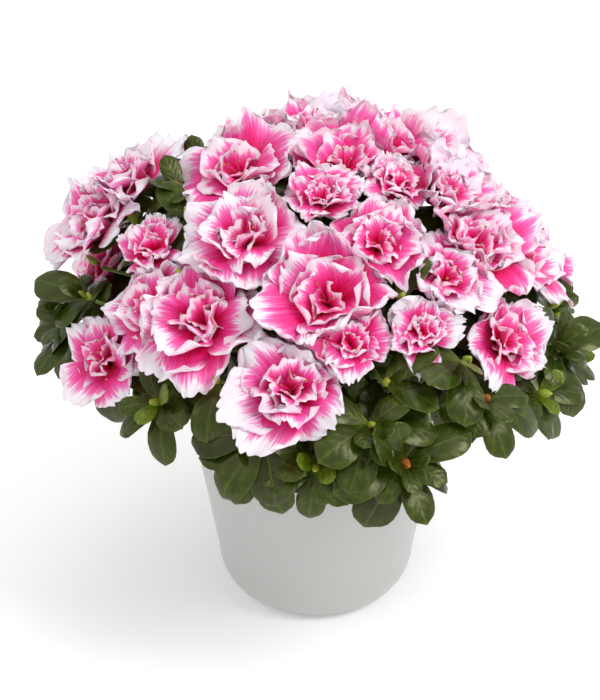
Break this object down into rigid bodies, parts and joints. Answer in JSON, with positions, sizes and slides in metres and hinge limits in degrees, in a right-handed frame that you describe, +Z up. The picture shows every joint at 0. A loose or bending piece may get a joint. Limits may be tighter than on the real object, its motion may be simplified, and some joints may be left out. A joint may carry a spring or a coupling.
{
  "type": "potted azalea shrub in bloom",
  "caption": "Low domed flowering shrub with double pink and white blossom over whorls of dark leaves, in a plain tapered pot.",
  "frame": {"origin": "middle of the pot's flat underside, on the surface that it stands on", "axes": "+Z up, -Y towards the front of the plant, +X to the right of someone who looks at its front"},
  "size_m": [0.3275, 0.3345, 0.3059],
  "materials": {
    "pot": "satin",
    "potting_soil": "matte",
    "bark": "matte",
    "leaf": "satin",
    "blossom": "satin"
  },
  "bodies": {
    "root": {"pot": "pot", "potting_soil": "potting_soil", "trunk": "bark", "bough_top": "bark", "bough_upper_1": "bark", "bough_upper_2": "bark", "bough_upper_3": "bark", "bough_upper_4": "bark", "bough_upper_5": "bark", "bough_lower_1": "bark", "bough_lower_2": "bark", "bough_lower_3": "bark", "bough_lower_4": "bark", "bough_lower_5": "bark", "bough_lower_6": "bark", "foliage_top": "blossom", "foliage_upper_1": "blossom", "foliage_upper_2": "blossom", "foliage_upper_3": "blossom", "foliage_upper_4": "blossom", "foliage_upper_5": "blossom", "foliage_lower_1": "leaf", "foliage_lower_2": "leaf", "foliage_lower_3": "leaf", "foliage_lower_4": "leaf", "foliage_lower_5": "leaf", "foliage_lower_6": "leaf"}
  },
  "joints": []
}
